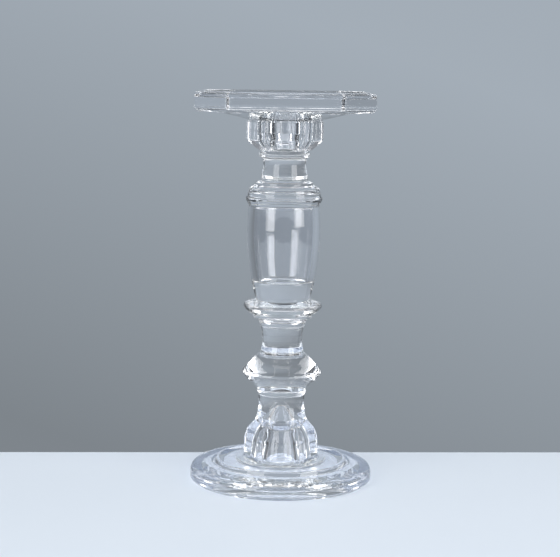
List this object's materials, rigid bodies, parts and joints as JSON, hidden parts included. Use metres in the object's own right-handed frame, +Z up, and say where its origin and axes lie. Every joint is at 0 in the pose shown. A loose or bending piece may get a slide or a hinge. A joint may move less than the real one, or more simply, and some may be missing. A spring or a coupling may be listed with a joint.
{
  "type": "candlestick",
  "caption": "Tall clear pressed-glass candlestick: cut-corner square pillar plate on a six-sided cup, hollow barrel stem with knops and a round ringed foot.",
  "frame": {"origin": "centre of the foot's underside, on the surface that the candlestick stands on", "axes": "+Z up the stem, -Y towards the viewer's side, square to one long side of the plate, +X to the right"},
  "size_m": [0.1192, 0.1192, 0.254],
  "materials": {
    "clear_glass": "fire-polished clear pressed glass",
    "clear_adhesive": "cured clear adhesive film"
  },
  "bodies": {
    "root": {"foot_disc": "clear_glass", "foot_film": "clear_adhesive", "base_stem": "clear_glass", "stem_film": "clear_adhesive", "bicone_knop": "clear_glass", "knop_film": "clear_adhesive", "stem_spool": "clear_glass", "spool_film": "clear_adhesive", "ring_flange": "clear_glass", "flange_film": "clear_adhesive", "barrel": "clear_glass", "barrel_film": "clear_adhesive", "stepped_cap": "clear_glass", "cap_film": "clear_adhesive", "upper_neck": "clear_glass", "neck_film": "clear_adhesive", "candle_cup": "clear_glass", "cup_film": "clear_adhesive", "pillar_plate": "clear_glass"}
  },
  "joints": []
}
